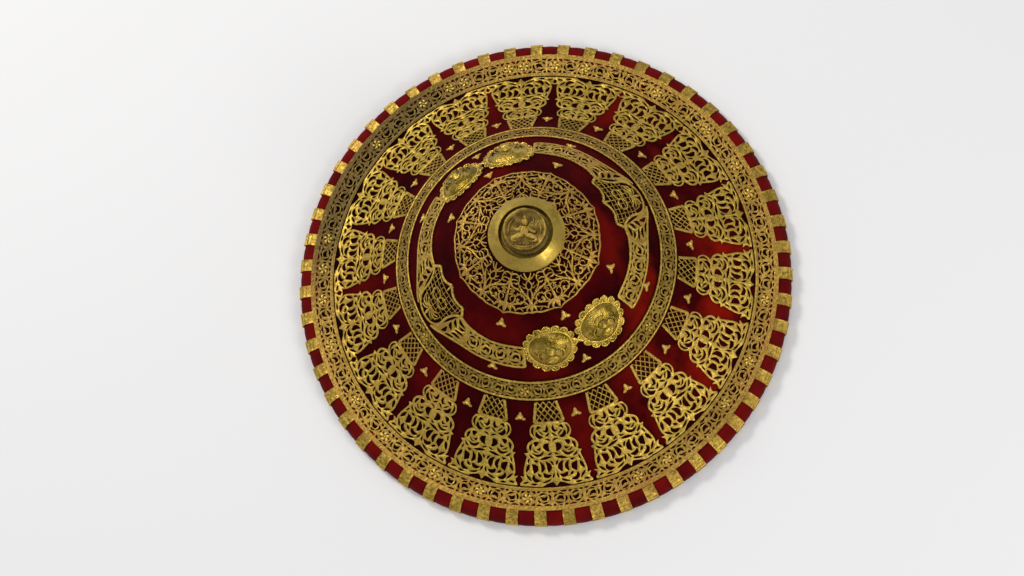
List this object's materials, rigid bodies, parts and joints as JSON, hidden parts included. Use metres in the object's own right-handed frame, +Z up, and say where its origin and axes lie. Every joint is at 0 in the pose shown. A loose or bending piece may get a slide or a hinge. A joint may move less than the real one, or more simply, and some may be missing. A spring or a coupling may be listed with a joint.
{
  "type": "ceremonial hide shield",
  "caption": "Round domed hide shield with velvet cover, gilt openwork plates and bands, a clipped red rim binding, a raised boss and a hide grip inside the dome.",
  "frame": {"origin": "on the surface the shield lies on, below the middle of its boss", "axes": "+Z up along the boss, the shield lying boss up on the clips of its rim; +X across the shield along its grip; the foot of the pictured view is towards -Y"},
  "size_m": [0.5183, 0.5183, 0.2022],
  "materials": {
    "hide": "dark smooth hide, dry, slightly polished by handling",
    "velvet": "deep crimson velvet, worn pile",
    "binding": "plain red cloth binding",
    "gilt": "gilt sheet, cast and chased, with darkened recesses",
    "worn_gilt": "rubbed gilt, greyer than the plates",
    "rivet": "dark hand-made rivet heads"
  },
  "bodies": {
    "root": {"collar": "gilt", "dome_strip_1": "gilt", "dome_strip_2": "gilt", "dome_strip_3": "gilt", "dome_strip_4": "gilt", "grip_rivet_1": "rivet", "grip_rivet_2": "rivet", "grip_rivet_3": "rivet", "grip_rivet_4": "rivet", "grip_strap": "hide", "hide_shell": "hide", "knob": "worn_gilt", "lattice_plate_1": "gilt", "lattice_plate_2": "gilt", "medallion_1": "gilt", "medallion_2": "gilt", "medallion_3": "gilt", "medallion_4": "gilt", "mid_band": "gilt", "outer_band": "gilt", "panel_01": "gilt", "panel_02": "gilt", "panel_03": "gilt", "panel_04": "gilt", "panel_05": "gilt", "panel_06": "gilt", "panel_07": "gilt", "panel_08": "gilt", "panel_09": "gilt", "panel_10": "gilt", "panel_11": "gilt", "panel_12": "gilt", "panel_13": "gilt", "panel_14": "gilt", "panel_15": "gilt", "panel_16": "gilt", "panel_17": "gilt", "panel_18": "gilt", "rim_binding": "binding", "rosette": "gilt", "stud_01": "gilt", "stud_02": "gilt", "stud_03": "gilt", "stud_04": "gilt", "stud_05": "gilt", "stud_06": "gilt", "stud_07": "gilt", "stud_08": "gilt", "stud_09": "gilt", "stud_10": "gilt", "stud_11": "gilt", "stud_12": "gilt", "stud_13": "gilt", "stud_14": "gilt", "stud_15": "gilt", "stud_16": "gilt", "stud_17": "gilt", "stud_18": "gilt", "velvet_cover": "velvet"}
  },
  "joints": []
}
